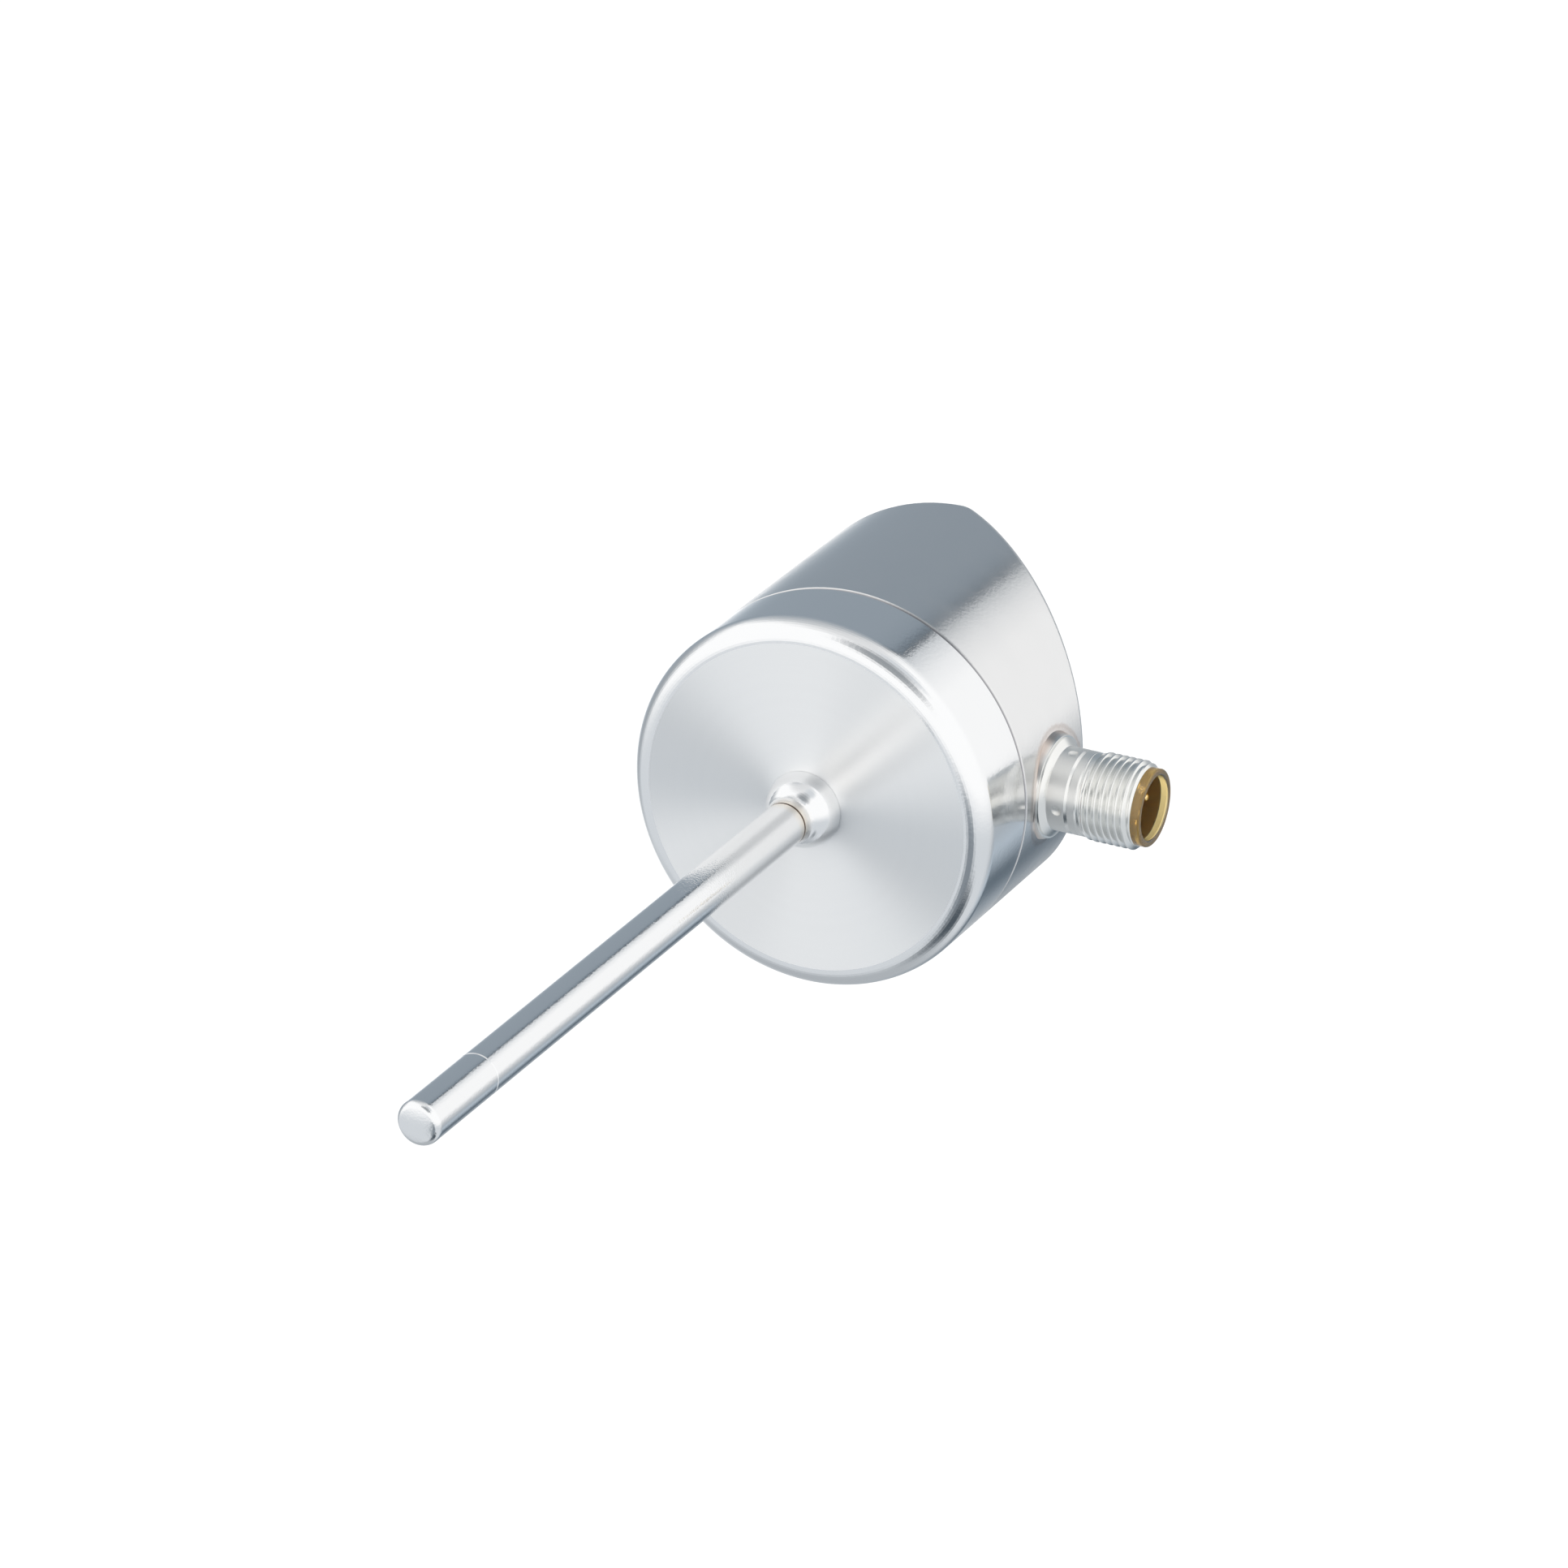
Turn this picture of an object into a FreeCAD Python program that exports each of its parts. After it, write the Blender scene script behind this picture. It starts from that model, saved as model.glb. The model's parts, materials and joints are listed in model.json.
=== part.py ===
import FreeCAD, Part
import math
import os

# Insertion temperature transmitter: a thin stem with a ball boss on a round steel
# housing, whose rear is cut to a sloped reading face above a threaded plug connector.
# Millimetres. The origin is the centre of the flat front face. The housing runs
# along +Y, the stem along -Y and the connector along +X, and +Z is up.

# Housing: the turned front cap and the shell behind it
housing_radius = 26.0
cap_length = 13.0
cap_face_thickness = 3.0
cap_edge_radius = 3.0
cap_floor_fillet = 1.5
shell_length = 35.25
shell_wall = 1.5
rear_wall = 2.4
rear_edge_radius = 1.2
joint_chamfer = 0.3
spigot_length = 3.0
spigot_wall = 1.6
spigot_clearance = 0.05

# Sloped reading face, from its ridge at the flat rear down to its foot beside the connector
ridge_offset = 0.5
ridge_radius = 4.0
slope_foot_gap = 1.67
window_shift = 0.8

# Ball boss on the front face, and the seam where the stem is welded to its neck
ball_radius = 5.25
neck_fillet = 1.5
boss_length = 6.0

# Stem: a thin tube closed by a turned tip
stem_radius = 3.0
stem_wall = 0.5
stem_tube_length = 85.0
tip_length = 15.6
tip_edge_radius = 1.0
tip_end_wall = 1.5
tip_wall = 1.0
tip_register_length = 3.0
tip_register_clearance = 0.03

# Sensing element and its four wires
element_radius = 1.4
element_length = 8.0
element_edge_chamfer = 0.2
element_end_gap = 0.8
wire_count = 4
wire_radius = 0.28
wire_circle_radius = 0.9
wire_solder_length = 0.6
insulator_clearance = 0.2
insulator_bore_clearance = 0.1
insulator_rear_length = 4.0
stem_seal_radius = 6.0
stem_seal_thickness = 3.0

# Main board and what holds it in the cap
board_clearance = 0.2
board_ledge_width = 3.0
board_standoff = 8.0
board_thickness = 1.6
board_hole_clearance = 0.1
clamp_ring_width = 2.0
clamp_ring_thickness = 1.5
clamp_ring_gap = 5.0

# Parts soldered to the main board: width along X, height off the board, width along Z
processor_size = (7.0, 1.1, 7.0)
processor_place = (-8.0, 6.0)
converter_size = (5.0, 1.0, 5.0)
converter_place = (-8.0, -5.0)
inductor_radius = 3.0
inductor_height = 3.2
inductor_turn = 266.0
capacitor_count = 3
capacitor_radius = 1.9
capacitor_height = 5.4
capacitor_gap = 1.6
capacitor_turn = 82.0
can_rim_gap = 3.0
can_edge_share = 6
flex_socket_size = (3.0, 2.0, 8.0)

# Plug connector: its axis lies behind the cap joint, and lengths run out from the housing
connector_setback = 9.7
connector_stub_radius = 5.0
connector_inner_reach = 3.0
connector_hole_clearance = 0.05
collar_weld_reach = 0.45
collar_weld_rise = 0.05
collar_radius = 7.0
collar_height = 0.2
collar_step = 0.3
collar_step_height = 0.2
collar_edge_radius = 0.08
plug_neck_radius = 5.7
plug_ramp_height = 0.6
ring_groove_distance = 3.45
ring_groove_run = 0.45
ring_groove_return = 0.1
ring_groove_depth = 0.15
thread_distance = 6.4
thread_run_in = 0.5
thread_radius = 6.0
thread_length = 6.5
thread_lead_in = 0.6
thread_end_radius = 5.35
plug_shell_bore = 4.9
plug_shell_rear_bore = 4.3
plug_shoulder_distance = 1.4
dimple_count = 4
dimple_distance = 2.5
dimple_radius = 0.7
dimple_depth = 0.3
dimple_turn = -8.0

# Moulded contact carrier with its key, seal and pins
carrier_clearance = 0.05
carrier_flange_radius = 5.3
carrier_flange_length = 1.3
carrier_flange_round = 0.3
carrier_cavity_radius = 4.35
carrier_cavity_depth = 9.0
carrier_key_width = 1.2
carrier_key_height = 0.7
carrier_key_turn = 45.0
carrier_key_setback = 1.0
seal_section_radius = 0.45
seal_distance = 3.4
pin_count = 4
pin_radius = 0.5
pin_circle_radius = 2.65
pin_recess = 2.2
pin_tip_radius = 0.3
pin_solder_length = 1.0

# Small board behind the pins, and the block that joins it to the main board
link_board_thickness = 1.6
link_board_margin = 1.4
link_board_gap = 0.6
link_block_depth = 4.0
link_block_height = 5.0
link_block_width = 10.0

# Reading window and the display behind it
window_radius = 9.5
window_thickness = 1.4
window_clearance = 0.05
window_edge_chamfer = 0.2
window_ledge = 1.2
window_seal_thickness = 0.4
holder_length = 4.0
display_board_thickness = 1.2
display_size = (8.0, 3.2, 13.0)
flex_thickness = 0.3
flex_width = 6.0
flex_straight = 4.0
flex_bend_radius = 1.5
hole_overrun = 1.0

# Places that follow from the driving values
housing_length = cap_length + shell_length
shell_bore_radius = housing_radius - shell_wall
spigot_radius = shell_bore_radius - spigot_clearance
cap_bore_radius = spigot_radius - spigot_wall
neck_radius = stem_radius
stem_bore_radius = stem_radius - stem_wall
tube_end = -boss_length - stem_tube_length
tip_end = tube_end - tip_length
tip_bore_radius = stem_radius - tip_wall
tip_bore_end = tip_end + tip_end_wall
insulator_radius = stem_bore_radius - insulator_clearance
insulator_front = tube_end + tip_register_length + insulator_clearance
element_front = tip_bore_end + element_end_gap
element_rear = element_front + element_length
board_front = cap_face_thickness + board_standoff
board_rear = board_front + board_thickness
board_radius = cap_bore_radius - board_clearance
connector_height = cap_length + connector_setback
link_board_face = shell_bore_radius - connector_inner_reach
thread_start = housing_radius + thread_distance
shell_end = thread_start + thread_length
carrier_body_radius = plug_shell_bore - carrier_clearance
carrier_end = shell_end + carrier_flange_length
cavity_floor = carrier_end - carrier_cavity_depth
slope_foot = connector_height + collar_radius + slope_foot_gap
slope = math.atan2(housing_length - slope_foot, housing_radius - ridge_offset)
slope_length = (housing_radius - ridge_offset) / math.cos(slope)
window_distance = slope_length / 2 - window_shift
clamp_ring_bore = board_radius - clamp_ring_width
window_opening_radius = window_radius - window_ledge
holder_front = -rear_wall
display_board_face = holder_front - holder_length
display_board_back = display_board_face - display_board_thickness

# The connector is drawn about its own Y axis and turned to point along +X
connector_frame = FreeCAD.Placement(
    FreeCAD.Vector(0, connector_height, 0), FreeCAD.Rotation(FreeCAD.Vector(0, 0, 1), -90))

# The display is drawn about the outward normal of the sloped face, at the window's centre
ridge = FreeCAD.Vector(ridge_offset, housing_length, 0)
down_slope = FreeCAD.Vector(math.cos(slope), -math.sin(slope), 0)
slope_frame = FreeCAD.Placement(
    ridge + down_slope * window_distance,
    FreeCAD.Rotation(FreeCAD.Vector(0, 0, 1), -math.degrees(slope)))


def on_frame(shape, frame):
    placed = shape.copy()
    placed.Placement = frame.multiply(placed.Placement)
    return placed


def rounded_wire(corners):
    """Closed outline in the XY plane; a corner (x, y, radius) is rounded."""
    pieces = []
    count = len(corners)
    for index, corner in enumerate(corners):
        point = FreeCAD.Vector(corner[0], corner[1], 0)
        radius = corner[2] if len(corner) > 2 else 0
        if not radius:
            pieces.append((point, None, point))
            continue
        before = FreeCAD.Vector(*corners[index - 1][:2], 0)
        after = FreeCAD.Vector(*corners[(index + 1) % count][:2], 0)
        towards_before = (before - point).normalize()
        towards_after = (after - point).normalize()
        half_angle = towards_before.getAngle(towards_after) / 2
        setback = radius / math.tan(half_angle)
        bisector = (towards_before + towards_after).normalize()
        middle = point + bisector * (radius / math.sin(half_angle) - radius)
        pieces.append((point + towards_before * setback, middle, point + towards_after * setback))
    edges = []
    for index, (start, middle, end) in enumerate(pieces):
        if middle is not None:
            edges.append(Part.Arc(start, middle, end).toShape())
        next_start = pieces[(index + 1) % count][0]
        if end.distanceToPoint(next_start) > 1e-7:
            edges.append(Part.LineSegment(end, next_start).toShape())
    return Part.Wire(edges)


def revolved(wire):
    return Part.Face(wire).revolve(FreeCAD.Vector(0, 0, 0), FreeCAD.Vector(0, 1, 0), 360)


def turned(corners):
    """Solid of revolution about the Y axis from (radius, y) corners."""
    return revolved(rounded_wire(corners))


def disc(radius, start, end, x=0.0, z=0.0):
    return Part.makeCylinder(radius, end - start, FreeCAD.Vector(x, start, z), FreeCAD.Vector(0, 1, 0))


def ring(inner, outer, start, end):
    return disc(outer, start, end).cut(disc(inner, start, end))


def block(size, x, y, z):
    """Box centred on x and z that stands on the plane at y."""
    corner = FreeCAD.Vector(x - size[0] / 2, y, z - size[2] / 2)
    return Part.makeBox(size[0], size[1], size[2], corner)


def extruded(corners, width):
    """Prism of an XY outline, centred on the XY plane."""
    face = Part.Face(rounded_wire(corners))
    face.translate(FreeCAD.Vector(0, 0, -width / 2))
    return face.extrude(FreeCAD.Vector(0, 0, width))


def circle_places(count, radius, first_angle=0.0):
    """Points (x, z) evenly spaced on a circle about the Y axis."""
    angles = [math.radians(first_angle + 360.0 * index / count) for index in range(count)]
    return [(radius * math.cos(angle), radius * math.sin(angle)) for angle in angles]


def save(name, shape):
    solid = shape.removeSplitter()
    solid.exportStep("parts/" + name + ".step")


# Front cap

def boss_outline():
    """Edges from the ball at the face, round the neck, to the weld seam."""
    reach = ball_radius + neck_fillet
    centre_radius = neck_radius + neck_fillet
    centre_y = -math.sqrt(reach ** 2 - centre_radius ** 2)
    blend_angle = math.atan2(-centre_y, centre_radius)
    ball_start = FreeCAD.Vector(ball_radius, 0, 0)
    ball_middle = FreeCAD.Vector(
        ball_radius * math.cos(blend_angle / 2), -ball_radius * math.sin(blend_angle / 2), 0)
    ball_end = FreeCAD.Vector(
        ball_radius * math.cos(blend_angle), -ball_radius * math.sin(blend_angle), 0)
    neck_start = FreeCAD.Vector(neck_radius, centre_y, 0)
    turn_angle = (math.pi + (math.pi - blend_angle)) / 2
    neck_middle = FreeCAD.Vector(
        centre_radius + neck_fillet * math.cos(turn_angle),
        centre_y + neck_fillet * math.sin(turn_angle), 0)
    neck_end = FreeCAD.Vector(neck_radius, -boss_length, 0)
    return [
        Part.Arc(ball_start, ball_middle, ball_end).toShape(),
        Part.Arc(ball_end, neck_middle, neck_start).toShape(),
        Part.LineSegment(neck_start, neck_end).toShape(),
    ]


def ball_boss():
    """Ball and neck, with a core that runs through the cap's face."""
    corners = [
        FreeCAD.Vector(neck_radius, -boss_length, 0),
        FreeCAD.Vector(0, -boss_length, 0),
        FreeCAD.Vector(0, cap_face_thickness, 0),
        FreeCAD.Vector(ball_radius, cap_face_thickness, 0),
        FreeCAD.Vector(ball_radius, 0, 0),
    ]
    inner = [Part.LineSegment(start, end).toShape() for start, end in zip(corners, corners[1:])]
    return revolved(Part.Wire(boss_outline() + inner))


def front_cap():
    body = turned([
        (0, 0),
        (housing_radius, 0, cap_edge_radius),
        (housing_radius, cap_length - joint_chamfer),
        (housing_radius - joint_chamfer, cap_length),
        (spigot_radius, cap_length),
        (spigot_radius, cap_length + spigot_length),
        (cap_bore_radius, cap_length + spigot_length),
        (cap_bore_radius, cap_face_thickness, cap_floor_fillet),
        (0, cap_face_thickness),
    ])
    stem_bore = disc(stem_bore_radius, -boss_length, cap_face_thickness)
    return body.fuse(ball_boss()).cut(stem_bore)


# Stem

def stem_tube():
    return ring(stem_bore_radius, stem_radius, tube_end, -boss_length)


def stem_tip():
    register_radius = stem_bore_radius - tip_register_clearance
    register_end = tube_end + tip_register_length
    return turned([
        (0, tip_end),
        (stem_radius, tip_end, tip_edge_radius),
        (stem_radius, tube_end),
        (register_radius, tube_end),
        (register_radius, register_end),
        (tip_bore_radius, register_end),
        (tip_bore_radius, tip_bore_end),
        (0, tip_bore_end),
    ])


def sensing_element():
    face_radius = element_radius - element_edge_chamfer
    return turned([
        (0, element_front),
        (face_radius, element_front),
        (element_radius, element_front + element_edge_chamfer),
        (element_radius, element_rear - element_edge_chamfer),
        (face_radius, element_rear),
        (0, element_rear),
    ])


def wire_places():
    return circle_places(wire_count, wire_circle_radius, 45.0)


def sensor_wire(place):
    return disc(wire_radius, element_rear, board_rear + wire_solder_length, *place)


def heat_filler():
    """Heat-conducting powder packed round the element inside the tip."""
    filler = disc(tip_bore_radius, tip_bore_end, insulator_front).cut(sensing_element())
    for place in wire_places():
        filler = filler.cut(sensor_wire(place))
    return filler


def insulator():
    """Ceramic rod with a bore for each wire."""
    rear = cap_face_thickness + insulator_rear_length
    rod = disc(insulator_radius, insulator_front, rear)
    for place in wire_places():
        rod = rod.cut(disc(wire_radius + insulator_bore_clearance, insulator_front, rear, *place))
    return rod


def stem_seal():
    rear = cap_face_thickness + stem_seal_thickness
    return ring(insulator_radius, stem_seal_radius, cap_face_thickness, rear)


# Housing shell

def rear_profile(inset):
    """Side outline of the flat rear and the slope, moved inwards by the inset."""
    rear = housing_length - inset
    ridge_x = ridge_offset - inset * math.tan(slope / 2)
    side = housing_radius + ridge_radius
    slope_end = rear - (side - ridge_x) * math.tan(slope)
    return extruded([
        (-side, 0),
        (-side, rear),
        (ridge_x, rear, ridge_radius - inset),
        (side, slope_end),
        (side, 0),
    ], 2 * side)


def lies_on_rear_rim(edge):
    if isinstance(edge.Curve, Part.Line):
        return False
    box = edge.BoundBox
    middle = edge.valueAt((edge.FirstParameter + edge.LastParameter) / 2)
    on_wall = abs(math.hypot(middle.x, middle.z) - housing_radius) < 1e-4
    return on_wall and box.YMin > cap_length + 2 * joint_chamfer


def shell_outside():
    body = turned([
        (0, cap_length),
        (housing_radius - joint_chamfer, cap_length),
        (housing_radius, cap_length + joint_chamfer),
        (housing_radius, housing_length),
        (0, housing_length),
    ]).common(rear_profile(0))
    rim = [edge for edge in body.Edges if lies_on_rear_rim(edge)]
    return body.makeFillet(rear_edge_radius, rim)


def shell_inside():
    return disc(shell_bore_radius, cap_length, housing_length).common(rear_profile(rear_wall))


def window_seat():
    """Stepped hole through the slope for the window and its seal."""
    depth = window_thickness + window_seal_thickness
    seat = disc(window_radius + window_clearance, -depth, hole_overrun)
    hole = disc(window_opening_radius, -rear_wall - hole_overrun, hole_overrun)
    return on_frame(seat.fuse(hole), slope_frame)


def housing_shell():
    hole_radius = connector_stub_radius + connector_hole_clearance
    hole = disc(hole_radius, link_board_face, housing_radius + hole_overrun)
    body = shell_outside().cut(shell_inside())
    return body.cut(on_frame(hole, connector_frame)).cut(window_seat())


# Main board and its holder

def board_carrier():
    """Moulded ring that stands on the cap floor and carries the main board."""
    relief = cap_floor_fillet + board_clearance
    return turned([
        (board_radius - board_ledge_width, cap_face_thickness),
        (board_radius - relief, cap_face_thickness),
        (board_radius, cap_face_thickness + relief),
        (board_radius, board_front),
        (board_radius - board_ledge_width, board_front),
    ])


def main_board():
    board = disc(board_radius, board_front, board_rear)
    for place in wire_places():
        board = board.cut(disc(wire_radius + board_hole_clearance, board_front, board_rear, *place))
    return board


def clamp_ring():
    """Spring ring, open at one side, that holds the board down in the cap."""
    half_gap = clamp_ring_gap / 2
    outer_start = FreeCAD.Vector(-math.sqrt(board_radius ** 2 - half_gap ** 2), board_rear, half_gap)
    inner_start = FreeCAD.Vector(-math.sqrt(clamp_ring_bore ** 2 - half_gap ** 2), board_rear, half_gap)
    outer_end = FreeCAD.Vector(outer_start.x, board_rear, -half_gap)
    inner_end = FreeCAD.Vector(inner_start.x, board_rear, -half_gap)
    outline = Part.Wire([
        Part.Arc(outer_start, FreeCAD.Vector(board_radius, board_rear, 0), outer_end).toShape(),
        Part.LineSegment(outer_end, inner_end).toShape(),
        Part.Arc(inner_end, FreeCAD.Vector(clamp_ring_bore, board_rear, 0), inner_start).toShape(),
        Part.LineSegment(inner_start, outer_start).toShape(),
    ])
    return Part.Face(outline).extrude(FreeCAD.Vector(0, clamp_ring_thickness, 0))


def chip(size, place):
    return block(size, place[0], board_rear, place[1])


def can_place(radius, turn):
    """Place of a can on the main board, close inside the clamp ring."""
    reach = clamp_ring_bore - can_rim_gap - radius
    angle = math.radians(turn)
    return (reach * math.cos(angle), reach * math.sin(angle))


def capacitor_places():
    """A row of cans side by side along the clamp ring."""
    reach = clamp_ring_bore - can_rim_gap - capacitor_radius
    step = math.degrees(2 * math.asin((capacitor_radius + capacitor_gap / 2) / reach))
    first = capacitor_turn - step * (capacitor_count - 1) / 2
    return [can_place(capacitor_radius, first + step * index) for index in range(capacitor_count)]


def can(radius, height, place):
    """Drum with a bevelled rim that stands on the main board."""
    bevel = radius / can_edge_share
    drum = turned([
        (0, 0),
        (radius, 0),
        (radius, height - bevel),
        (radius - bevel, height),
        (0, height),
    ])
    drum.translate(FreeCAD.Vector(place[0], board_rear, place[1]))
    return drum


def flex_socket():
    return block(flex_socket_size, flex_bend().x, board_rear, 0)


# Plug connector, drawn along its own Y axis

def plug_shell_outside():
    step_radius = collar_radius - collar_step
    weld_radius = collar_radius + collar_weld_reach
    weld_foot = math.sqrt(housing_radius ** 2 - weld_radius ** 2)
    collar_top = housing_radius + collar_height
    step_top = collar_top + collar_step_height
    ramp_top = step_top + plug_ramp_height
    groove = housing_radius + ring_groove_distance
    groove_floor = groove + ring_groove_run
    return turned([
        (0, weld_foot),
        (weld_radius, weld_foot),
        (collar_radius, housing_radius + collar_weld_rise),
        (collar_radius, collar_top, collar_edge_radius),
        (step_radius, collar_top),
        (step_radius, step_top, collar_edge_radius / 2),
        (plug_neck_radius, ramp_top),
        (plug_neck_radius, groove),
        (plug_neck_radius - ring_groove_depth, groove_floor),
        (plug_neck_radius, groove_floor + ring_groove_return),
        (plug_neck_radius, thread_start - thread_run_in),
        (thread_radius, thread_start),
        (thread_radius, shell_end - thread_lead_in),
        (thread_end_radius, shell_end),
        (0, shell_end),
    ])


def staking_dimples():
    """Round punch marks in the neck that hold the contact carrier."""
    balls = []
    sphere_radius = (dimple_radius ** 2 + dimple_depth ** 2) / (2 * dimple_depth)
    centre_radius = plug_neck_radius - dimple_depth + sphere_radius
    for x, z in circle_places(dimple_count, centre_radius, dimple_turn):
        centre = FreeCAD.Vector(x, housing_radius + dimple_distance, z)
        balls.append(Part.makeSphere(sphere_radius, centre))
    return balls


def connector_shell():
    outside = on_frame(plug_shell_outside(), connector_frame)
    housing = disc(housing_radius, 0, 2 * housing_length)
    stub = on_frame(disc(connector_stub_radius, link_board_face, shell_end), connector_frame)
    shoulder = housing_radius + plug_shoulder_distance
    bore = disc(plug_shell_bore, shoulder, shell_end).fuse(
        disc(plug_shell_rear_bore, link_board_face, shoulder))
    body = outside.cut(housing).fuse(stub).cut(on_frame(bore, connector_frame))
    for ball in staking_dimples():
        body = body.cut(on_frame(ball, connector_frame))
    return body


def carrier_key():
    """Rib inside the cavity that lets the mating plug in one way round."""
    half_wall = (carrier_body_radius - carrier_cavity_radius) / 2
    size = (carrier_key_height + half_wall, carrier_cavity_depth - carrier_key_setback, carrier_key_width)
    middle = carrier_cavity_radius + half_wall - size[0] / 2
    rib = block(size, middle, cavity_floor, 0)
    rib.rotate(FreeCAD.Vector(0, 0, 0), FreeCAD.Vector(0, 1, 0), carrier_key_turn)
    return rib


def contact_carrier():
    shoulder = housing_radius + plug_shoulder_distance
    groove = housing_radius + seal_distance
    groove_radius = plug_shell_bore - 2 * seal_section_radius
    rear_radius = plug_shell_rear_bore - carrier_clearance
    body = turned([
        (0, link_board_face),
        (rear_radius, link_board_face),
        (rear_radius, shoulder),
        (carrier_body_radius, shoulder),
        (carrier_body_radius, groove - seal_section_radius),
        (groove_radius, groove - seal_section_radius),
        (groove_radius, groove + seal_section_radius),
        (carrier_body_radius, groove + seal_section_radius),
        (carrier_body_radius, shell_end),
        (carrier_flange_radius, shell_end),
        (carrier_flange_radius, carrier_end, carrier_flange_round),
        (carrier_cavity_radius, carrier_end, carrier_flange_round),
        (carrier_cavity_radius, cavity_floor),
        (0, cavity_floor),
    ]).fuse(carrier_key())
    for place in pin_places():
        body = body.cut(disc(pin_radius, link_board_face, cavity_floor, *place))
    return on_frame(body, connector_frame)


def carrier_seal():
    centre = FreeCAD.Vector(0, housing_radius + seal_distance, 0)
    centre_radius = plug_shell_bore - seal_section_radius
    loop = Part.makeTorus(centre_radius, seal_section_radius, centre, FreeCAD.Vector(0, 1, 0))
    return on_frame(loop, connector_frame)


def pin_places():
    return circle_places(pin_count, pin_circle_radius)


def contact_pin(place):
    start = link_board_face - link_board_thickness - pin_solder_length
    pin = turned([
        (0, start),
        (pin_radius, start),
        (pin_radius, carrier_end - pin_recess, pin_tip_radius),
        (0, carrier_end - pin_recess),
    ])
    pin.translate(FreeCAD.Vector(place[0], 0, place[1]))
    return on_frame(pin, connector_frame)


def link_board():
    """Small upright board that the pins are soldered into."""
    half_width = connector_stub_radius + link_board_margin
    low = board_rear + clamp_ring_thickness + link_board_gap
    corner = FreeCAD.Vector(link_board_face - link_board_thickness, low, -half_width)
    height = connector_height + half_width - low
    board = Part.makeBox(link_board_thickness, height, 2 * half_width, corner)
    for place in pin_places():
        hole = disc(pin_radius, corner.x, link_board_face, *place)
        board = board.cut(on_frame(hole, connector_frame))
    return board


def link_block():
    """Angled socket that joins the upright board to the main board."""
    x = link_board_face - link_board_thickness - link_block_depth / 2
    return block((link_block_depth, link_block_height, link_block_width), x, board_rear, 0)


# Window and display, drawn about the outward normal of the slope

def display_window():
    back = -window_thickness
    edge_radius = window_radius - window_edge_chamfer
    lens = turned([
        (0, back),
        (window_radius, back),
        (window_radius, -window_edge_chamfer),
        (edge_radius, 0),
        (0, 0),
    ])
    return on_frame(lens, slope_frame)


def window_seal():
    back = -window_thickness - window_seal_thickness
    return on_frame(ring(window_opening_radius, window_radius, back, -window_thickness), slope_frame)


def display_holder():
    tube = ring(window_opening_radius, window_radius, display_board_face, holder_front)
    return on_frame(tube, slope_frame)


def display_board():
    return on_frame(disc(window_radius, display_board_back, display_board_face), slope_frame)


def display_module():
    return on_frame(block(display_size, 0, display_board_face, 0), slope_frame)


def flex_start():
    return slope_frame.multVec(FreeCAD.Vector(0, display_board_back, 0))


def flex_bend():
    return slope_frame.multVec(FreeCAD.Vector(0, display_board_back - flex_straight, 0))


def display_flex():
    """Flat ribbon from the back of the display board down to its socket."""
    start = flex_start()
    bend = flex_bend()
    half = flex_thickness / 2
    skew = half * math.tan(slope / 2)
    side_x = half * math.cos(slope)
    side_y = half * math.sin(slope)
    low = board_rear + flex_socket_size[1]
    return extruded([
        (start.x - side_x, start.y + side_y),
        (bend.x - half, bend.y + skew, flex_bend_radius + half),
        (bend.x - half, low),
        (bend.x + half, low),
        (bend.x + half, bend.y - skew, flex_bend_radius - half),
        (start.x + side_x, start.y - side_y),
    ], flex_width)


def build_all():
    pieces = {
        "front_cap": front_cap(),
        "stem_tube": stem_tube(),
        "stem_tip": stem_tip(),
        "sensing_element": sensing_element(),
        "heat_filler": heat_filler(),
        "stem_insulator": insulator(),
        "stem_seal": stem_seal(),
        "housing_shell": housing_shell(),
        "board_carrier": board_carrier(),
        "main_board": main_board(),
        "board_clamp_ring": clamp_ring(),
        "processor": chip(processor_size, processor_place),
        "signal_converter": chip(converter_size, converter_place),
        "power_inductor": can(inductor_radius, inductor_height, can_place(inductor_radius, inductor_turn)),
        "flex_socket": flex_socket(),
        "connector_shell": connector_shell(),
        "contact_carrier": contact_carrier(),
        "carrier_seal": carrier_seal(),
        "link_board": link_board(),
        "link_block": link_block(),
        "display_window": display_window(),
        "window_seal": window_seal(),
        "display_holder": display_holder(),
        "display_board": display_board(),
        "display_module": display_module(),
        "display_flex": display_flex(),
    }
    for index, place in enumerate(wire_places(), 1):
        pieces["sensor_wire_%d" % index] = sensor_wire(place)
    for index, place in enumerate(pin_places(), 1):
        pieces["contact_pin_%d" % index] = contact_pin(place)
    for index, place in enumerate(capacitor_places(), 1):
        pieces["capacitor_%d" % index] = can(capacitor_radius, capacitor_height, place)
    return pieces


os.makedirs("parts", exist_ok=True)
for name, shape in build_all().items():
    save(name, shape)
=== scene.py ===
import json
import math

import bmesh
import bpy
from mathutils import Matrix, Vector


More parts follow.
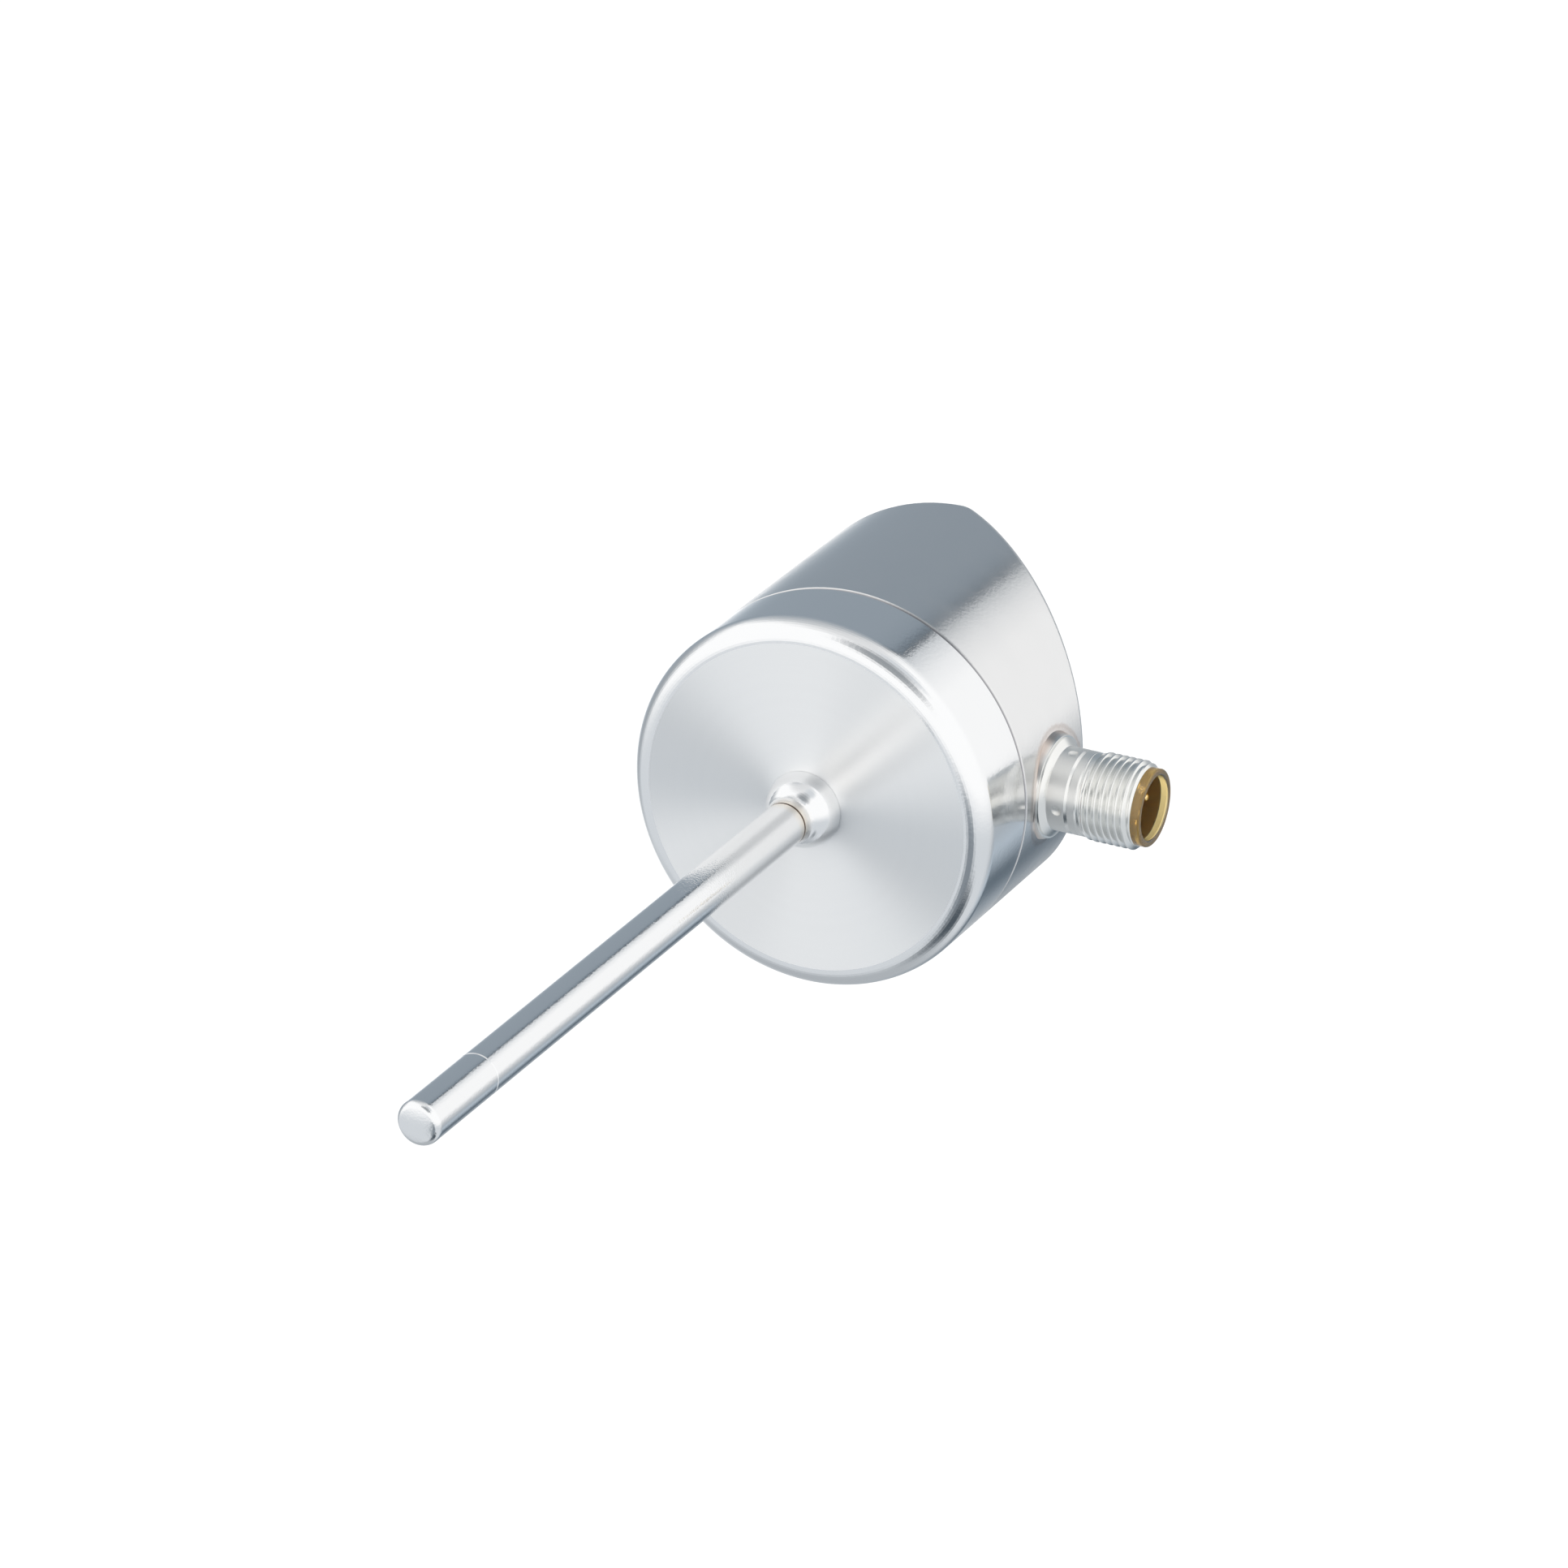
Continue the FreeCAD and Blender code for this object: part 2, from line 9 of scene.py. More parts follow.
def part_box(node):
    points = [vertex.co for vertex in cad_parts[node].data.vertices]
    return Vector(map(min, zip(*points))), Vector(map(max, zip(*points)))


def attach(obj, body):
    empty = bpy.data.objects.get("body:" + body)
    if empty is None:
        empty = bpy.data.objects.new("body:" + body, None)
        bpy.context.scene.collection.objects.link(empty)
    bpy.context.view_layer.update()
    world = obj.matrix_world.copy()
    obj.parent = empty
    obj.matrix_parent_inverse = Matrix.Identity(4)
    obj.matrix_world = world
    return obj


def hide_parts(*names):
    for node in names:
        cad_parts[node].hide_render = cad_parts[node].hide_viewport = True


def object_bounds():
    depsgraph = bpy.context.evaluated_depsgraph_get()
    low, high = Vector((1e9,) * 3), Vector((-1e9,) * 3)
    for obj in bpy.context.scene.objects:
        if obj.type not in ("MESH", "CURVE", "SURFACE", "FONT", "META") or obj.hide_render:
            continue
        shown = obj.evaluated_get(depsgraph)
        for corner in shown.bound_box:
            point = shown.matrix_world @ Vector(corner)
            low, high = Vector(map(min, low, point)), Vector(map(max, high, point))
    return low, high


# Looks of the temperature transmitter: turned and polished steel, a plug connector with
# a real thread, an amber contact carrier, and a white studio. Metres, in the part's frame:
# the stem points along -Y, the housing along +Y, the connector along +X, and +Z is up.

MM = 0.001

# Camera, from the photograph's viewing angle
VIEW_AZIMUTH = 25.54
VIEW_ELEVATION = 24.17
VIEW_ROLL = 1.67
VIEW_DISTANCE = 1.0648
AIM_RIGHT = -0.00273
AIM_UP = 0.00315
LENS = 186.34
SENSOR = 36.0

# Studio
FLOOR_DROP = 0.12
FLOOR_SIZE = 6.0
FLOOR_GLOW = 0.62
FLOOR_PAINT = 0.45
ROOM_LIGHT = 0.72
KEY_STRENGTH = 1.0
KEY_SOFTNESS = 24.0
KEY_PLACE = (-0.35, -0.3, 1.1)

# Turned front cap and its boss
CAP_EDGE_RADIUS = 3.0 * MM
JOINT_CHAMFER = 0.3 * MM
JOINT_SLOT = 0.14 * MM
JOINT_SLOT_DEPTH = 0.5 * MM
BALL_RADIUS = 5.25 * MM
NECK_FILLET = 1.5 * MM
BALL_RELIEF_WIDTH = 0.12 * MM
BALL_RELIEF_DEPTH = 0.04 * MM
CAP_WALL = 3.0 * MM
CAP_LENGTH = 13.0 * MM
CAP_BORE_RADIUS = 22.85 * MM
SPIGOT_RADIUS = 24.45 * MM
SPIGOT_LENGTH = 3.0 * MM
FLOOR_FILLET = 1.5 * MM

# Stem
STEM_BORE = 2.5 * MM
TIP_EDGE_RADIUS = 1.0 * MM
TIP_DOME_ANGLE = 12.0
TIP_BORE = 2.0 * MM
TIP_WALL = 1.5 * MM
REGISTER_RADIUS = 2.47 * MM
REGISTER_LENGTH = 3.0 * MM
SEAM_GROOVE = 0.08 * MM
SEAM_HALF_WIDTH = 0.14 * MM

# Connector, with lengths measured along +X from the housing's side
SHELL_BORE = 4.9 * MM
REAR_BORE = 4.3 * MM
SHOULDER = 1.4 * MM
STUB_RADIUS = 5.0 * MM
WELD_RADIUS = 7.45 * MM
WELD_RISE = 0.05 * MM
FOOT_SINK = 0.05 * MM
COLLAR_RADIUS = 7.0 * MM
COLLAR_HEIGHT = 0.2 * MM
COLLAR_STEP = 0.3 * MM
COLLAR_STEP_HEIGHT = 0.2 * MM
COLLAR_TOP = COLLAR_HEIGHT + COLLAR_STEP_HEIGHT
COLLAR_ROUND = 0.08 * MM
NECK_RADIUS = 5.7 * MM
RAMP_HEIGHT = 0.6 * MM
RING_GROOVE = 3.5 * MM
RING_GROOVE_RUN = 0.38 * MM
RING_GROOVE_RETURN = 0.1 * MM
RING_GROOVE_DEPTH = 0.22 * MM
CUT_PLACE = 5.0 * MM
CUT_FADE = 1.1 * MM
THREAD_PLACE = 6.4 * MM
THREAD_RUN_IN = 0.5 * MM
THREAD_LENGTH = 6.5 * MM
THREAD_PITCH = 1.0 * MM
THREAD_CREST = 6.0 * MM
THREAD_ROOT = 5.42 * MM
THREAD_LEAD = 0.6 * MM
THREAD_END_RADIUS = 5.35 * MM
THREAD_CREST_HALF = 0.1
THREAD_ROOT_HALF = 0.06
THREAD_ROUNDING = 0.04
THREAD_FLANK_DROP = 3
DIMPLE_COUNT = 4
DIMPLE_PLACE = 2.5 * MM
DIMPLE_RADIUS = 0.7 * MM
DIMPLE_DEPTH = 0.3 * MM
DIMPLE_TURN = -8.0

# Fineness of the turned pieces
ROUND_STEPS = 288
PLUG_STEPS = 288
ARC_STEPS = 14
SUPPORT = 0.05 * MM
LONG_RUN = 6 * SUPPORT
NECK_STEP = 0.06 * MM
COLLAR_STRIDE = 3
SHARP_ANGLE = 15.0
SAME_POINT = 1e-7
ROUNDING = 1e-6

# Colours, linear
STEEL = (0.87, 0.875, 0.88, 1)
FACE_STEEL = (0.98, 0.985, 0.985, 1)
SHELL_STEEL = (0.79, 0.79, 0.79, 1)
PLUG_STEEL = (0.85, 0.85, 0.83, 1)
SHADE_STEEL = (0.72, 0.73, 0.745, 1)
JOINT_SHADE = (0.2, 0.2, 0.22, 1)
STRAW_TINT = (0.84, 0.77, 0.67, 1)
SEAM_BROWN = (0.07, 0.04, 0.025, 1)
ROSE_TINT = (0.7, 0.6, 0.54, 1)
WELD_BROWN = (0.42, 0.33, 0.29, 1)
AMBER = (0.97, 0.64, 0.2, 1)
PALE_AMBER = (1.0, 0.99, 0.84, 1)
AMBER_ABSORBS = (0.99, 0.9, 0.4, 1)
AMBER_DENSITY = 300.0
GOLD = (0.95, 0.72, 0.34, 1)
SMOKE = (0.16, 0.165, 0.175, 1)
WHITE = (1, 1, 1, 1)

# Mottled materials, by slot: two linear colours, roughness, scale of the mottle and how metallic
MOTTLED = {
    "sensor_wire": ((0.8, 0.6, 0.4), (0.7, 0.5, 0.33), 0.3, 3.0, 1.0),
    "board": ((0.01, 0.09, 0.05), (0.015, 0.12, 0.07), 0.45, 1.2, 0.0),
    "black_plastic": ((0.02, 0.02, 0.022), (0.03, 0.03, 0.033), 0.5, 4.0, 0.0),
    "seal_rubber": ((0.03, 0.03, 0.032), (0.045, 0.045, 0.045), 0.7, 5.0, 0.0),
    "ceramic": ((0.8, 0.77, 0.7), (0.72, 0.69, 0.62), 0.6, 3.0, 0.0),
    "filler": ((0.7, 0.7, 0.68), (0.55, 0.55, 0.53), 0.85, 8.0, 0.0),
    "ferrite": ((0.05, 0.05, 0.055), (0.08, 0.08, 0.085), 0.6, 5.0, 0.0),
    "capacitor_can": ((0.7, 0.7, 0.72), (0.62, 0.62, 0.64), 0.3, 1.5, 1.0),
    "flex_film": ((0.55, 0.25, 0.04), (0.62, 0.3, 0.06), 0.35, 2.0, 0.0),
    "display_glass": ((0.05, 0.06, 0.07), (0.07, 0.08, 0.09), 0.15, 1.0, 0.0),
}

# Noise: the span that most of its values fill, and how fine it goes
NOISE_SPAN = (0.3, 0.7)
MOTTLE_SPAN = (0.35, 0.65)
PLAIN_DETAIL = 2.0
FINE_DETAIL = 3.0
FULL_DETAIL = 4.0

# Satin steel: roughness, size of the grain in millimetres and its depth
SIDE_FINISH = (0.12, 0.5, 0.012 * MM)
SHELL_FINISH = (0.19, 0.5, 0.014 * MM)
STEM_FINISH = (0.07, 0.3, 0.02 * MM)
SPRING_FINISH = (0.25, 0.3, 0.004 * MM)
SATIN_SMOOTHER = 0.02
SATIN_ROUGHER = 0.03

# Turned and moulded finishes. Lines, clouds and ripples are in noise cycles a millimetre.
SATIN_LINES = 9.0
SATIN_LINE_DEPTH = 0.0006 * MM
SATIN_CLOUD = 0.22
FACE_LINES = 8.0
FACE_LINE_DEPTH = 0.001 * MM
FACE_BANDS = 0.9
FACE_SHADE = 0.02
FACE_ROUGHNESS = (0.33, 0.345)
FACE_SPREAD = 1.0
BALL_LINES = 7.0
BALL_LINE_DEPTH = 0.0008 * MM
BALL_CLOUD = 0.5
BALL_ROUGHNESS = (0.09, 0.13)
PLUG_LINES = 12.0
PLUG_LINE_DEPTH = 0.0006 * MM
PLUG_CLOUD = 0.6
PLUG_ROUGHNESS = (0.15, 0.2)
NECK_ROUGHNESS = (0.4, 0.45)
NECK_SPREAD = 0.8
ACROSS_LINES = 0.25
GOLD_CLOUD = 2.0
GOLD_ROUGHNESS = (0.15, 0.24)
MOTTLE_DEPTH = 0.004 * MM
MOTTLE_ROUGHNESS = 0.05

# Heat tints and the shade in the cap joint, with lengths in millimetres
WELD_TINT_REACH = (7.3, 8.8)
WELD_TINT = 0.45
WELD_RIM_RADIUS = 7.95
WELD_RIM_WIDTH = 0.5
WELD_RIM_TINT = 0.3
WELD_RAGGED = 0.12
WELD_RAGGED_SCALE = 1.5
PLUG_SIDE = (15.0, 20.0)
JOINT_SHADE_REACH = (0.1, 0.25)
JOINT_SHADE_SHARE = 0.8
STRAW_REACH = (0.1, 2.0)
STRAW_SHARE = 0.8
STRAW_RAGGED = 0.2
STRAW_RAGGED_SCALE = 2.5
SEAM_LINE_REACH = (0.1, 0.24)
SEAM_LINE_SHARE = 0.95
PLUG_HEAT_REACH = (-0.6, 0.25)
PLUG_HEAT_SHARE = 0.9

# Clear plastics, with lengths in millimetres
AMBER_THIN_RADIUS = (4.45, 4.7)
AMBER_MOUTH = (33.0, 36.0)
AMBER_CLEARNESS = (0.76, 0.95)
AMBER_ROUGHNESS = (0.05, 0.1)
AMBER_FLOW = 0.8
AMBER_RIPPLE = 3.0
AMBER_RIPPLE_DEPTH = 0.002 * MM
AMBER_IOR = 1.6
WINDOW_CLEARNESS = 0.9
WINDOW_ROUGHNESS = (0.02, 0.05)
WINDOW_CLOUD = 0.4
WINDOW_WAVE = 0.15
WINDOW_WAVE_DEPTH = 0.004 * MM
WINDOW_IOR = 1.5

# Reflected studio: brightness and coolness of each screen, 1 being plain white.
# The ring behind the part goes by the angle from +X to +Z.
UPPER_FRONT = (1.12, 0.0)
LOWER_FRONT = (0.745, 0.045)
REAR_RING = [
    (-180, 0.36, 0.14),
    (-168, 0.42, 0.13),
    (-157, 0.66, 0.08),
    (-148, 1.2, 0.0),
    (-138, 1.2, 0.0),
    (-128, 0.66, 0.04),
    (-116, 0.48, 0.06),
    (-100, 0.36, 0.12),
    (-86, 0.19, 0.2),
    (-76, 0.15, 0.22),
    (-56, 0.57, 0.13),
    (-44, 0.46, 0.1),
    (-26, 0.66, 0.03),
    (-8, 1.06, 0.0),
    (46, 1.06, 0.0),
    (62, 0.94, 0.01),
    (77, 0.66, 0.04),
    (79, 0.09, 0.12),
    (83, 0.2, 0.2),
    (88, 0.32, 0.15),
    (100, 0.35, 0.14),
    (180, 0.36, 0.14),
]
REAR_MIDDLE = (0.48, 0.06)
REAR_MIDDLE_ANGLES = (27, 8)
REAR_START = 0.2
REAR_FULL = 0.78
BRIGHT_START = -0.42
BRIGHT_FULL = 0.0

# Soft screens in front and beside: direction, inner and outer angle, brightness, coolness
SCREENS = [
    ((0.2, -0.84, -0.5), 5, 23, 0.28, 0.12),
    ((0.3, -0.45, -0.84), 4, 26, 0.1, 0.2),
    ((-0.25, 0.0, -0.97), 12, 44, 0.5, 0.06),
    ((-0.15, 0.05, 0.99), 8, 36, 0.82, 0.01),
    ((0.36, -0.24, 0.9), 2, 20, 0.75, 0.04),
    ((0.15, -0.66, 0.73), 3, 27, 0.36, 0.06),
    ((-0.39, 0.45, 0.8), 8, 34, 0.6, 0.04),
    ((-0.93, 0.35, -0.12), 5, 38, 0.41, 0.08),
]

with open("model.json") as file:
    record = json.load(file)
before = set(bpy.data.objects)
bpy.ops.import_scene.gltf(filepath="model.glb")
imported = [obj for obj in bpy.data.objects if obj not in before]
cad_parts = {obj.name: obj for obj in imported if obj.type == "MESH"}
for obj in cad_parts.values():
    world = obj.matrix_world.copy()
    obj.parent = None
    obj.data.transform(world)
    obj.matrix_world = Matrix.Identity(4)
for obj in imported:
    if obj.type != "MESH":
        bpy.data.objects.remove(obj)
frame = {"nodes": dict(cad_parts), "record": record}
cad_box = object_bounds()
nodes = frame["nodes"]
root = "root"

HOUSING_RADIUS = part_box("front_cap")[1].x
SEAM_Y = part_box("front_cap")[0].y
TIP_SEAM_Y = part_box("stem_tube")[0].y
TIP_END_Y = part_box("stem_tip")[0].y
STEM_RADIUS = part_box("stem_tube")[1].x
PLUG_Y = sum(corner.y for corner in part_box("connector_shell")) / 2
STUB_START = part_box("connector_shell")[0].x - HOUSING_RADIUS
PLUG_END = THREAD_PLACE + THREAD_LENGTH


# Shader building

def put(tree, kind, inputs=None, **settings):
    """Add a shader node; an input is a number, a colour or another node's output."""
    node = tree.nodes.new("ShaderNode" + kind)
    for name, value in settings.items():
        setattr(node, name, value)
    for name, value in (inputs or {}).items():
        if isinstance(value, bpy.types.NodeSocket):
            tree.links.new(value, node.inputs[name])
        else:
            node.inputs[name].default_value = value
    return node


def maths(tree, operation, first, second=0.0, third=0.0):
    return put(tree, "Math", {0: first, 1: second, 2: third}, operation=operation).outputs[0]


def place_mm(tree):
    """The surface point in the part's frame, in millimetres."""
    coordinate = put(tree, "TexCoord").outputs["Object"]
    scaled = put(tree, "VectorMath", {0: coordinate, 1: (1 / MM,) * 3}, operation="MULTIPLY")
    return scaled.outputs[0]


def along(tree, point, axis):
    return put(tree, "SeparateXYZ", {0: point}).outputs[axis]


def radius_about(tree, point, centre, keep):
    """Distance of the point from an axis through the centre, in millimetres."""
    moved = put(tree, "VectorMath", {0: point, 1: centre}, operation="SUBTRACT").outputs[0]
    flat = put(tree, "VectorMath", {0: moved, 1: keep}, operation="MULTIPLY").outputs[0]
    return put(tree, "VectorMath", {0: flat}, operation="LENGTH").outputs["Value"]


def noise(tree, point, scale, detail=PLAIN_DETAIL):
    return put(tree, "TexNoise", {"Vector": point, "Scale": scale, "Detail": detail}).outputs["Fac"]


def line_noise(tree, value, scale, detail=PLAIN_DETAIL):
    """Noise along one direction only, for the fine lines that a turning tool leaves."""
    inputs = {"W": value, "Scale": scale, "Detail": detail}
    return put(tree, "TexNoise", inputs, noise_dimensions="1D").outputs["Fac"]


def ranged(tree, value, low, high, to_low, to_high, smooth=False):
    kind = "SMOOTHSTEP" if smooth else "LINEAR"
    inputs = {"Value": value, "From Min": low, "From Max": high, "To Min": to_low, "To Max": to_high}
    return put(tree, "MapRange", inputs, interpolation_type=kind).outputs["Result"]


def varied(tree, texture, low, high):
    """Carry the usual span of a noise texture over to the one between two values."""
    return ranged(tree, texture, *NOISE_SPAN, low, high)


def mixed(tree, factor, first, second):
    """Blend of two colours; a Mix node has them in these sockets."""
    return put(tree, "Mix", {0: factor, 6: first, 7: second}, data_type="RGBA").outputs[2]


def bumped(tree, height, distance, normal=None):
    inputs = {"Height": height, "Distance": distance, "Strength": 1.0}
    if normal is not None:
        inputs["Normal"] = normal
    return put(tree, "Bump", inputs).outputs["Normal"]


def material(name, build, absorbs=None, density=0.0):
    """New material whose build function returns the inputs of its main shader."""
    made = bpy.data.materials.new(name)
    made.use_nodes = True
    tree = made.node_tree
    tree.nodes.clear()
    outputs = {"Surface": put(tree, "BsdfPrincipled", build(tree)).outputs[0]}
    if absorbs is not None:
        inputs = {"Color": absorbs, "Density": density}
        outputs["Volume"] = put(tree, "VolumeAbsorption", inputs).outputs[0]
    put(tree, "OutputMaterial", outputs)
    return made


# Steel

def satin(tree, point, colour, roughness, grain_size, grain_depth):
    """Inputs of fine satin steel: a grain that frays reflections, over lines round the Y axis."""
    grain = noise(tree, point, 1 / grain_size, FINE_DETAIL)
    streaks = line_noise(tree, along(tree, point, "Y"), SATIN_LINES, FULL_DETAIL)
    normal = bumped(tree, streaks, SATIN_LINE_DEPTH)
    normal = bumped(tree, grain, grain_depth, normal)
    cloud = noise(tree, point, SATIN_CLOUD)
    return {
        "Base Color": colour,
        "Metallic": 1.0,
        "Roughness": varied(tree, cloud, roughness - SATIN_SMOOTHER, roughness + SATIN_ROUGHER),
        "Normal": normal,
    }


def side_steel(tree):
    return satin(tree, place_mm(tree), STEEL, *SIDE_FINISH)


def shell_steel(tree):
    """Satin steel with a heat tint round the connector's weld and shade in the cap joint."""
    point = place_mm(tree)
    reach = radius_about(tree, point, (0, PLUG_Y / MM, 0), (0, 1, 1))
    uneven = varied(tree, noise(tree, point, WELD_RAGGED_SCALE), -WELD_RAGGED, WELD_RAGGED)
    ragged = maths(tree, "ADD", reach, uneven)
    outside = ranged(tree, along(tree, point, "X"), *PLUG_SIDE, 0.0, 1.0)
    near = ranged(tree, ragged, *WELD_TINT_REACH, WELD_TINT, 0.0, True)
    from_rim = maths(tree, "ABSOLUTE", maths(tree, "SUBTRACT", ragged, WELD_RIM_RADIUS))
    rim = ranged(tree, from_rim, 0.0, WELD_RIM_WIDTH, WELD_RIM_TINT, 0.0, True)
    colour = mixed(tree, maths(tree, "MULTIPLY", near, outside), SHELL_STEEL, ROSE_TINT)
    colour = mixed(tree, maths(tree, "MULTIPLY", rim, outside), colour, WELD_BROWN)
    shade_places = [CAP_LENGTH / MM + past for past in JOINT_SHADE_REACH]
    joint = ranged(tree, along(tree, point, "Y"), *shade_places, JOINT_SHADE_SHARE, 0.0)
    colour = mixed(tree, joint, colour, JOINT_SHADE)
    return satin(tree, point, colour, *SHELL_FINISH)


def face_steel(tree):
    """Face turned in fine circles, which spread reflections across the lines."""
    point = place_mm(tree)
    radius = radius_about(tree, point, (0, 0, 0), (1, 0, 1))
    fine = line_noise(tree, radius, FACE_LINES, FULL_DETAIL)
    broad = line_noise(tree, radius, FACE_BANDS)
    return {
        "Base Color": mixed(tree, varied(tree, broad, 0.0, FACE_SHADE), FACE_STEEL, SHADE_STEEL),
        "Metallic": 1.0,
        "Roughness": varied(tree, fine, *FACE_ROUGHNESS),
        "Anisotropic": FACE_SPREAD,
        "Anisotropic Rotation": ACROSS_LINES,
        "Tangent": put(tree, "Tangent", None, direction_type="RADIAL", axis="Y").outputs[0],
        "Normal": bumped(tree, fine, FACE_LINE_DEPTH),
    }


def ball_steel(tree):
    point = place_mm(tree)
    lines = line_noise(tree, along(tree, point, "Y"), BALL_LINES, FINE_DETAIL)
    return {
        "Base Color": STEEL,
        "Metallic": 1.0,
        "Roughness": varied(tree, noise(tree, point, BALL_CLOUD), *BALL_ROUGHNESS),
        "Normal": bumped(tree, lines, BALL_LINE_DEPTH),
    }


def stem_steel(tree):
    """Drawn tube and neck, with a dark weld line and a straw tint fading from it."""
    point = place_mm(tree)
    distance = maths(tree, "ABSOLUTE", maths(tree, "SUBTRACT", along(tree, point, "Y"), SEAM_Y / MM))
    uneven = varied(tree, noise(tree, point, STRAW_RAGGED_SCALE), -STRAW_RAGGED, STRAW_RAGGED)
    ragged = maths(tree, "ADD", distance, uneven)
    tint = ranged(tree, ragged, *STRAW_REACH, STRAW_SHARE, 0.0, True)
    colour = mixed(tree, tint, STEEL, STRAW_TINT)
    line = ranged(tree, distance, *SEAM_LINE_REACH, SEAM_LINE_SHARE, 0.0, True)
    colour = mixed(tree, line, colour, SEAM_BROWN)
    return satin(tree, point, colour, *STEM_FINISH)


def machined(tree, roughness):
    """Inputs of the connector's machined steel, slightly brown at its weld."""
    point = place_mm(tree)
    x = along(tree, point, "X")
    heated_places = [HOUSING_RADIUS / MM + past for past in PLUG_HEAT_REACH]
    heat = ranged(tree, x, *heated_places, PLUG_HEAT_SHARE, 0.0, True)
    lines = line_noise(tree, x, PLUG_LINES, FINE_DETAIL)
    return {
        "Base Color": mixed(tree, heat, PLUG_STEEL, ROSE_TINT),
        "Metallic": 1.0,
        "Roughness": varied(tree, noise(tree, point, PLUG_CLOUD), *roughness),
        "Normal": bumped(tree, lines, PLUG_LINE_DEPTH),
    }


def plug_steel(tree):
    return machined(tree, PLUG_ROUGHNESS)


def neck_steel(tree):
    """Neck turned in fine lines round it, which spread reflections along it."""
    inputs = machined(tree, NECK_ROUGHNESS)
    inputs["Anisotropic"] = NECK_SPREAD
    inputs["Anisotropic Rotation"] = ACROSS_LINES
    inputs["Tangent"] = put(tree, "Tangent", None, direction_type="RADIAL", axis="X").outputs[0]
    return inputs


def spring_steel(tree):
    return satin(tree, place_mm(tree), SHADE_STEEL, *SPRING_FINISH)


# Plastics and the rest

def amber_plastic(tree):
    """Clear amber moulded plastic, pale in the thin wall at its mouth and deeper elsewhere."""
    point = place_mm(tree)
    radius = radius_about(tree, point, (0, PLUG_Y / MM, 0), (0, 1, 1))
    within = ranged(tree, radius, *AMBER_THIN_RADIUS, 1.0, 0.0)
    mouth = ranged(tree, along(tree, point, "X"), *AMBER_MOUTH, 0.0, 1.0)
    thin = maths(tree, "MULTIPLY", within, mouth)
    return {
        "Base Color": mixed(tree, thin, AMBER, PALE_AMBER),
        "Roughness": varied(tree, noise(tree, point, AMBER_FLOW), *AMBER_ROUGHNESS),
        "Transmission Weight": ranged(tree, thin, 0.0, 1.0, *AMBER_CLEARNESS),
        "IOR": AMBER_IOR,
        "Normal": bumped(tree, noise(tree, point, AMBER_RIPPLE), AMBER_RIPPLE_DEPTH),
    }


def gold_contact(tree):
    point = place_mm(tree)
    return {
        "Base Color": GOLD,
        "Metallic": 1.0,
        "Roughness": varied(tree, noise(tree, point, GOLD_CLOUD), *GOLD_ROUGHNESS),
    }


def smoked_window(tree):
    point = place_mm(tree)
    return {
        "Base Color": SMOKE,
        "Roughness": varied(tree, noise(tree, point, WINDOW_CLOUD), *WINDOW_ROUGHNESS),
        "Transmission Weight": WINDOW_CLEARNESS,
        "IOR": WINDOW_IOR,
        "Normal": bumped(tree, noise(tree, point, WINDOW_WAVE), WINDOW_WAVE_DEPTH),
    }


def mottled(colour, other, roughness, scale, metallic):
    """Build function of a plain material with a fine mottle."""
    def build(tree):
        mottle = noise(tree, place_mm(tree), scale, FINE_DETAIL)
        share = ranged(tree, mottle, *MOTTLE_SPAN, 0.0, 1.0)
        smooth, rough = roughness - MOTTLE_ROUGHNESS, roughness + MOTTLE_ROUGHNESS
        return {
            "Base Color": mixed(tree, share, (*colour, 1), (*other, 1)),
            "Metallic": metallic,
            "Roughness": varied(tree, mottle, smooth, rough),
            "Normal": bumped(tree, mottle, MOTTLE_DEPTH),
        }
    return build


side = material("side_steel", side_steel)
face = material("face_steel", face_steel)
ball = material("ball_steel", ball_steel)
stem = material("stem_steel", stem_steel)
plug = material("plug_steel", plug_steel)
neck = material("neck_steel", neck_steel)

slot_looks = {
    "shell_steel": material("shell_steel", shell_steel),
    "spring_steel": material("spring_steel", spring_steel),
    "amber_plastic": material("amber_plastic", amber_plastic, AMBER_ABSORBS, AMBER_DENSITY),
    "smoked_window": material("smoked_window", smoked_window),
    "gold_contact": material("gold_contact", gold_contact),
}
for slot, values in MOTTLED.items():
    slot_looks[slot] = material(slot, mottled(*values))


def dress_nodes():
    """Give every carried-over CAD node the material of its slot in the record."""
    for subpart in frame["record"]["subparts"]:
        look = slot_looks.get(subpart["material_slot"])
        if look is not None:
            for place in nodes[subpart["node"]].material_slots:
                place.material = look


# Turned pieces

def arc(centre, radius, start, end):
    """Points (across, along) of an arc between two angles in degrees."""
    points = []
    for step in range(ARC_STEPS + 1):
        angle = math.radians(start + (end - start) * step / ARC_STEPS)
        points.append((centre[0] + radius * math.cos(angle), centre[1] + radius * math.sin(angle)))
    return points


def turns_in(steps):
    """Equal turns round a circle, in radians."""
    return [2 * math.pi * step / steps for step in range(steps)]


def supported(outline):
    """Add a point close to both ends of each long straight run, so that shading stays flat."""
    points = []
    for index, (across, length, look) in enumerate(outline):
        points.append((across, length, look))
        after = outline[(index + 1) % len(outline)]
        run = math.hypot(after[0] - across, after[1] - length)
        if run > LONG_RUN and max(across, after[0]) > 0:
            for share in (SUPPORT / run, 1 - SUPPORT / run):
                middle = (across + (after[0] - across) * share, length + (after[1] - length) * share)
                points.append((*middle, look))
    return points


def ring_of(maker, points):
    """Vertices of a ring; points that all fall together share one vertex."""
    if len(set(points)) == 1:
        return [maker.verts.new(points[0])] * len(points)
    return [maker.verts.new(point) for point in points]


